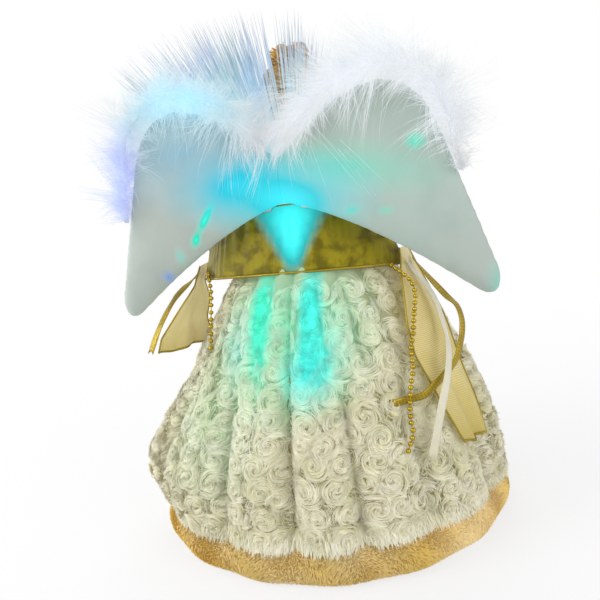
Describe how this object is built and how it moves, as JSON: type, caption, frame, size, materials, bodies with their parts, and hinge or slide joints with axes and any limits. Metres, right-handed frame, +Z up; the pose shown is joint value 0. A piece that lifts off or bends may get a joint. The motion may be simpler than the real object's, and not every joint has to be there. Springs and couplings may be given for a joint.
{
  "type": "angel tree topper",
  "caption": "Angel tree topper: plush gown on a hollow cone, padded wings with feather trim, a lit fibre fan, ribbon shawl and a battery box inside.",
  "frame": {"origin": "on the cone's axis, in the plane that the base hoop stands on", "axes": "+Z up along the cone's axis; the angel faces -Y, so +X is its left side and +Y its back"},
  "size_m": [0.2362, 0.2061, 0.3144],
  "materials": {
    "cone": "satin moulded shell",
    "socket": "satin moulded",
    "box": "fine matt",
    "cell": "satin sleeve",
    "contact": "plated",
    "knob": "matt",
    "lamp": "satin",
    "board": "solder mask",
    "lens": "clear moulded",
    "ferrule": "matt",
    "lead": "matt sheath",
    "fibre": "clear drawn",
    "plush": "rosette plush",
    "fur": "long pile",
    "skin": "soft satin",
    "satin": "satin weave",
    "hair": "combed fibre",
    "wire": "drawn",
    "sheer": "sheer organza",
    "bead": "metallised",
    "cream": "satin ribbon",
    "gold": "metallic mesh",
    "wing": "padded satin",
    "feather": "downy",
    "plate": "satin"
  },
  "bodies": {
    "base": {"cone_shell": "cone", "base_hoop": "cone", "cone_cap": "cone", "tree_socket": "socket", "battery_box": "box", "battery_cell_1": "cell", "battery_cell_2": "cell", "battery_cell_3": "cell", "contact_lower": "contact", "contact_upper": "contact", "lamp_housing": "lamp", "led_board": "board", "led_lens": "lens", "led_lead": "lead", "fibre_ferrule": "ferrule", "fibre_fan_left": "fibre", "fibre_fan_right": "fibre", "skirt": "plush", "fur_hem": "fur", "torso": "skin", "head": "skin", "bodice": "satin", "hair": "hair", "shoulder_wire": "wire", "shawl_back": "sheer", "shawl_tail_left": "sheer", "shawl_tail_right": "sheer", "bead_strand_left": "bead", "bead_strand_right": "bead", "ribbon_cream_right": "cream", "ribbon_gold_left": "gold", "ribbon_gold_right": "gold", "wing_plate": "plate"},
    "wing_left": {"wing_wire_left": "wire", "wing_panel_left": "wing", "marabou_left": "feather"},
    "wing_right": {"wing_wire_right": "wire", "wing_panel_right": "wing", "marabou_right": "feather"},
    "arm_left": {"arm_left": "skin", "sleeve_left": "satin", "hand_left": "skin"},
    "arm_right": {"arm_right": "skin", "sleeve_right": "satin", "hand_right": "skin"},
    "battery_door": {"battery_door": "box"},
    "switch_slider": {"switch_slider": "knob"}
  },
  "joints": [
    {"name": "wing_left_hinge", "type": "hinge", "parent": "base", "child": "wing_left", "pos_m": [0.006, 0.036, 0.2176], "axis": [0, 0, 1], "range_deg": [0, 25]},
    {"name": "wing_right_hinge", "type": "hinge", "parent": "base", "child": "wing_right", "pos_m": [-0.006, 0.036, 0.2176], "axis": [0, 0, -1], "range_deg": [0, 25]},
    {"name": "arm_left_shoulder", "type": "hinge", "parent": "base", "child": "arm_left", "pos_m": [0.0355, -0.006, 0.2026], "axis": [-1, 0, 0], "range_deg": [-10, 40]},
    {"name": "arm_right_shoulder", "type": "hinge", "parent": "base", "child": "arm_right", "pos_m": [-0.0355, -0.006, 0.2026], "axis": [-1, 0, 0], "range_deg": [-10, 40]},
    {"name": "battery_door_hinge", "type": "hinge", "parent": "base", "child": "battery_door", "pos_m": [-0.0268, 0.03766, 0.04455], "axis": [0, 0, -1], "range_deg": [0, 95]},
    {"name": "switch_slide", "type": "slide", "parent": "base", "child": "switch_slider", "axis": [1, 0, 0], "range_m": [0, 0.004]}
  ]
}
